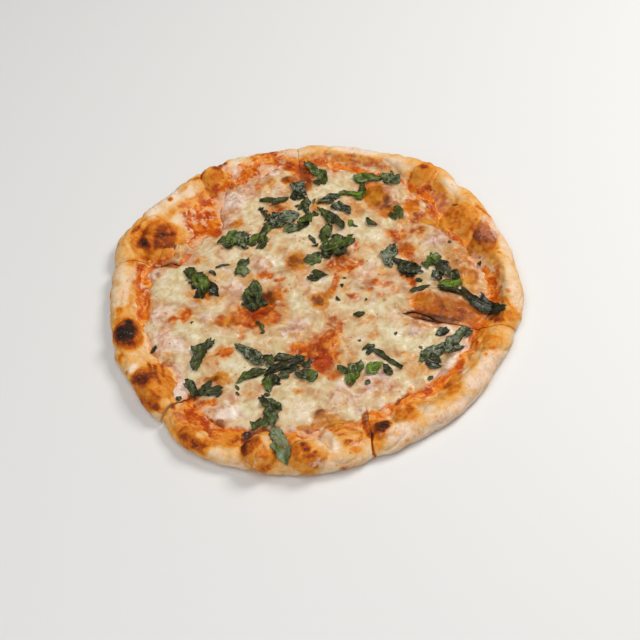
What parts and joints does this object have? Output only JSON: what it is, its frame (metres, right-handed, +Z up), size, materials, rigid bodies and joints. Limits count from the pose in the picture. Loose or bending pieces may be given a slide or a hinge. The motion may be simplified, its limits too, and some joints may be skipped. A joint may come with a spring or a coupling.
{
  "type": "margherita pizza",
  "caption": "Round thin-crust pizza with a puffed, blistered rim, tomato sauce, melted cheese and shreds of basil, cut into wedge slices that lie together.",
  "frame": {"origin": "middle of the pizza's outline, on the plane it rests on", "axes": "+Z up out of the topping; +Y away from the side where the pizza is looked at from; +X to that side's right"},
  "size_m": [0.2747, 0.2789, 0.0213],
  "materials": {
    "dough": "baked crust, pale to golden, with brown and charred blisters",
    "tomato_sauce": "moist, orange-red",
    "melted_cheese": "melted, pale cream, soft gloss",
    "basil": "wilted dark green leaf, satin"
  },
  "bodies": {
    "root": {"dough_1": "dough", "dough_2": "dough", "dough_3": "dough", "dough_4": "dough", "dough_5": "dough", "dough_6": "dough", "sauce_1": "tomato_sauce", "sauce_2": "tomato_sauce", "sauce_3": "tomato_sauce", "sauce_4": "tomato_sauce", "sauce_5": "tomato_sauce", "sauce_6": "tomato_sauce", "cheese_1": "melted_cheese", "cheese_2": "melted_cheese", "cheese_3": "melted_cheese", "cheese_4": "melted_cheese", "cheese_5": "melted_cheese", "cheese_6": "melted_cheese", "basil_01": "basil", "basil_02": "basil", "basil_03": "basil", "basil_04": "basil", "basil_05": "basil", "basil_06": "basil", "basil_07": "basil", "basil_08": "basil", "basil_09": "basil", "basil_10": "basil", "basil_11": "basil", "basil_12": "basil", "basil_13": "basil", "basil_14": "basil", "basil_15": "basil", "basil_16": "basil", "basil_17": "basil", "basil_18": "basil", "basil_19": "basil", "basil_20": "basil", "basil_21": "basil", "basil_22": "basil", "basil_23": "basil", "basil_24": "basil", "basil_25": "basil", "basil_26": "basil", "basil_27": "basil", "basil_28": "basil", "basil_29": "basil", "basil_30": "basil", "basil_31": "basil", "basil_32": "basil", "basil_33": "basil", "basil_34": "basil", "basil_35": "basil", "basil_36": "basil", "basil_37": "basil", "basil_38": "basil", "basil_39": "basil", "basil_40": "basil", "basil_41": "basil"}
  },
  "joints": []
}
